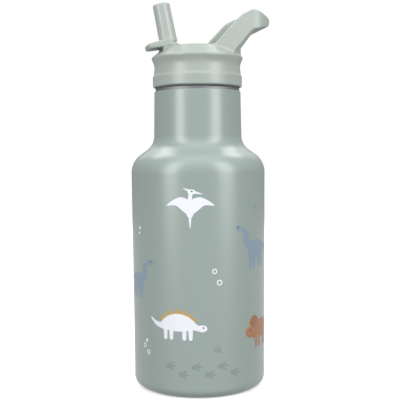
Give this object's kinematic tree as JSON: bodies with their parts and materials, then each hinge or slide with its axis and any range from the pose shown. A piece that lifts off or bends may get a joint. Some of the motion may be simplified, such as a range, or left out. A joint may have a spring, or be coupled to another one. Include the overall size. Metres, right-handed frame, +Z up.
{
  "type": "kids water bottle",
  "caption": "Slim double-walled steel bottle for a child, with a screw lid, a flip-up drinking spout with thumb tab and straw, and a carry loop.",
  "frame": {"origin": "centre of the bottle's axis in the plane it stands on", "axes": "+Z up along the bottle's axis; +X toward the carry loop, -X toward the spout and its thumb tab; the spout folds about Y"},
  "size_m": [0.0712, 0.07, 0.1992],
  "materials": {
    "sage_coating": "satin powder coat",
    "bare_steel": "satin",
    "solder": "dull",
    "getter_metal": "matte",
    "lid_plastic": "fine matte moulding",
    "insert_plastic": "satin",
    "gasket_silicone": "satin",
    "seal_silicone": "satin",
    "straw_plastic": "translucent",
    "spout_silicone": "soft matte silicone"
  },
  "bodies": {
    "bottle": {"outer_wall": "sage_coating", "outer_base": "sage_coating", "base_cover": "bare_steel", "vacuum_plug": "solder", "inner_wall": "bare_steel", "inner_base": "bare_steel", "getter": "getter_metal", "getter_cup": "bare_steel"},
    "gasket": {"lid_gasket": "gasket_silicone"},
    "lid": {"lid_shell": "lid_plastic", "lid_plug": "insert_plastic", "valve_seal": "seal_silicone", "vent_valve": "seal_silicone", "straw": "straw_plastic", "pivot_pins": "bare_steel"},
    "spout": {"spout_rotor": "lid_plastic", "mouthpiece": "spout_silicone"}
  },
  "joints": [
    {"name": "lid_rise", "type": "slide", "parent": "bottle", "child": "gasket", "axis": [0, 0, 1], "range_m": [0, 0.00533]},
    {"name": "lid_turn", "type": "hinge", "parent": "gasket", "child": "lid", "pos_m": [0, 0, 0.15], "axis": [0, 0, 1], "range_deg": [0, 480]},
    {"name": "spout_flip", "type": "hinge", "parent": "lid", "child": "spout", "pos_m": [-0.0142, 0, 0.1734], "axis": [0, 1, 0], "range_deg": [0, 101]}
  ],
  "couplings": [
    {"joint": "lid_rise", "follows": "lid_turn", "m_per_rad": 0.00063662}
  ]
}
